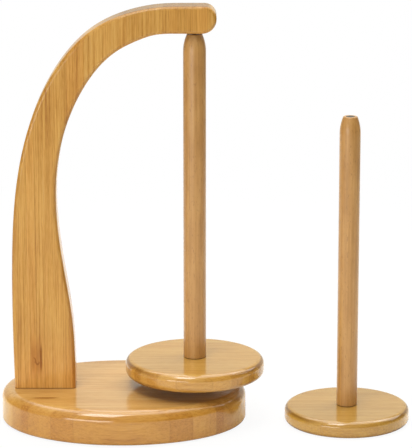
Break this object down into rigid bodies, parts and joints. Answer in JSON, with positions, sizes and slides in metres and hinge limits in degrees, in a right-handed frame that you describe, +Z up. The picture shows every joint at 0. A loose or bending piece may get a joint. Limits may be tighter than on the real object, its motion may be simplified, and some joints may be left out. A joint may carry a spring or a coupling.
{
  "type": "yarn ball holder",
  "caption": "Bamboo yarn ball holder: a curved arm on an oval base carries a disc-footed spindle that hangs and turns on a magnet, with a spare spindle beside it.",
  "frame": {"origin": "centre of the underside of the base's mat, on the table", "axes": "+Z up, +X from the base's centre towards the hanging spindle, +Y to the back, away from the pictured side"},
  "size_m": [0.2923, 0.134, 0.3014],
  "materials": {
    "bamboo": "clear gloss lacquer over bamboo strips",
    "rod_wood": "clear satin lacquer over plain round hardwood",
    "magnet": "dark epoxy coating",
    "steel": "zinc-plated steel",
    "ball_steel": "polished bearing steel",
    "mat": "matt foam rubber"
  },
  "bodies": {
    "stand": {"base": "bamboo", "base_pad": "mat", "arm": "bamboo", "arm_screws": "steel", "arm_magnet": "magnet"},
    "pivot": {"pivot_ball": "ball_steel"},
    "spindle_tip": {"spindle_magnet": "magnet"},
    "spindle": {"spindle_rod": "rod_wood", "spindle_disc": "bamboo", "spindle_screw": "steel"},
    "spare": {"spare_rod": "rod_wood", "spare_disc": "bamboo", "spare_screw": "steel", "spare_magnet": "magnet"}
  },
  "joints": [
    {"name": "spindle_swing_front", "type": "hinge", "parent": "stand", "child": "pivot", "pos_m": [0.051, 0, 0.284], "axis": [1, 0, 0], "range_deg": [-7, 7]},
    {"name": "spindle_swing_side", "type": "hinge", "parent": "pivot", "child": "spindle_tip", "pos_m": [0.051, 0, 0.284], "axis": [0, 1, 0], "range_deg": [-7, 7]},
    {"name": "spindle_spin", "type": "hinge", "parent": "spindle_tip", "child": "spindle", "pos_m": [0.051, 0, 0.28095], "axis": [0, 0, 1], "continuous": true},
    {"name": "spare_lift", "type": "slide", "parent": "stand", "child": "spare", "axis": [0, 0, 1], "range_m": [0, 0.1]}
  ]
}
